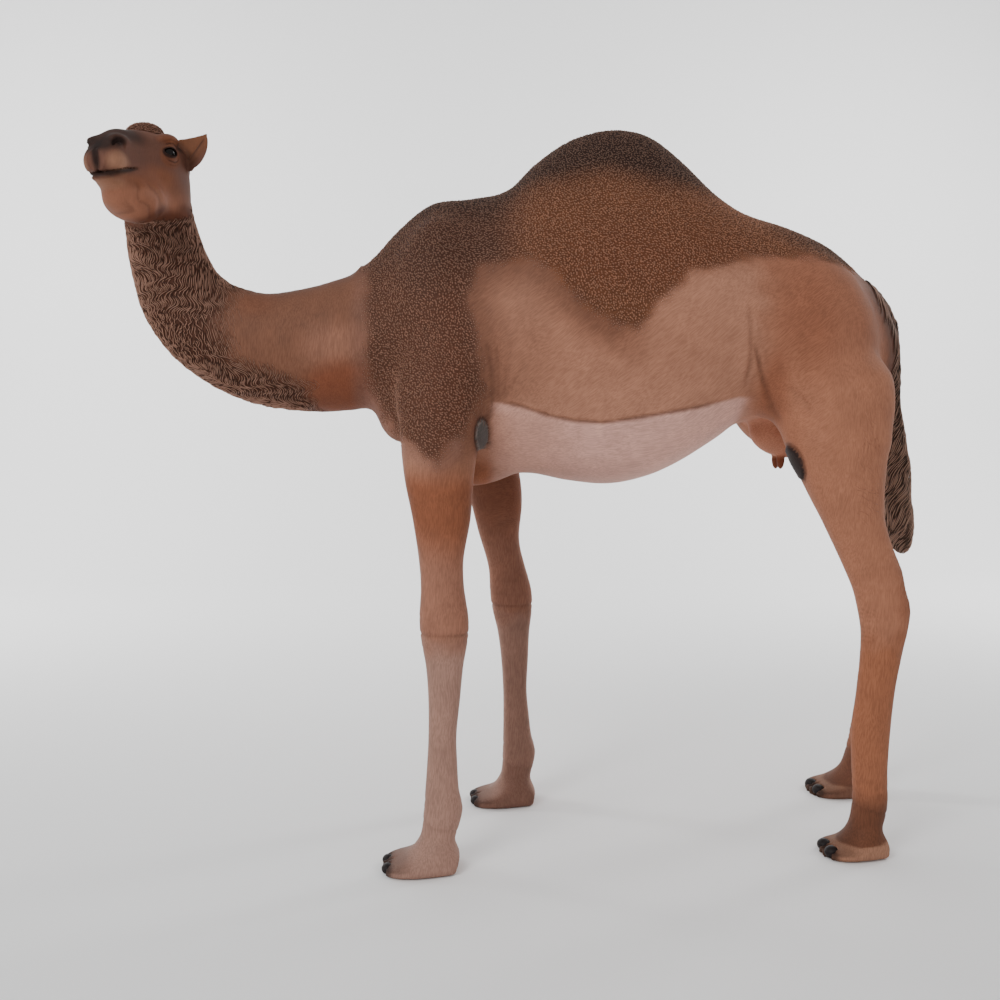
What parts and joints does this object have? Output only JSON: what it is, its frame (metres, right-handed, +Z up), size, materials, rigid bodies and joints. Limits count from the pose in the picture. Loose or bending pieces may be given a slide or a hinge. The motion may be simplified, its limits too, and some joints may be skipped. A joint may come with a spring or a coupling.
{
  "type": "life-size camel statue",
  "caption": "Standing one-humped camel, a still painted resin statue with its head raised and turned to its left, resting on its four feet.",
  "frame": {"origin": "centre of the bounding box's base, on the floor under the belly", "axes": "+Z up, -X ahead along the body, -Y towards the animal's left side, which faces the viewer"},
  "size_m": [2.4326, 0.6774, 2.0727],
  "materials": {
    "coat": "satin paint on cast resin, reddish brown with fine modelled hair",
    "curls": "satin paint over modelled short curls, near black with dry-brushed tan tips",
    "wool": "satin paint over modelled wavy locks, dark brown with dry-brushed lighter ridges",
    "face": "satin paint, brown with a reddish cheek and dark muzzle",
    "shank": "satin paint, greyish pink brown",
    "nail": "semi-gloss near-black paint",
    "eye": "high gloss, near black"
  },
  "bodies": {
    "root": {"fore_left_upper_leg": "coat", "fore_left_lower_leg": "shank", "fore_left_foot": "shank", "fore_left_nail_1": "nail", "fore_left_nail_2": "nail", "fore_right_upper_leg": "coat", "fore_right_lower_leg": "shank", "fore_right_foot": "shank", "fore_right_nail_1": "nail", "fore_right_nail_2": "nail", "hind_left_upper_leg": "coat", "hind_left_lower_leg": "shank", "hind_left_foot": "shank", "hind_left_nail_1": "nail", "hind_left_nail_2": "nail", "hind_right_upper_leg": "coat", "hind_right_lower_leg": "shank", "hind_right_foot": "shank", "hind_right_nail_1": "nail", "hind_right_nail_2": "nail", "trunk": "coat", "hump": "curls", "neck": "wool", "head": "face", "jaw": "face", "crown_tuft": "wool", "ear_left": "face", "ear_right": "face", "eye_left": "eye", "eye_right": "eye", "tail": "wool", "tail_tuft": "wool", "udder": "shank", "teat_1": "coat", "teat_2": "coat", "teat_3": "coat", "teat_4": "coat"}
  },
  "joints": []
}
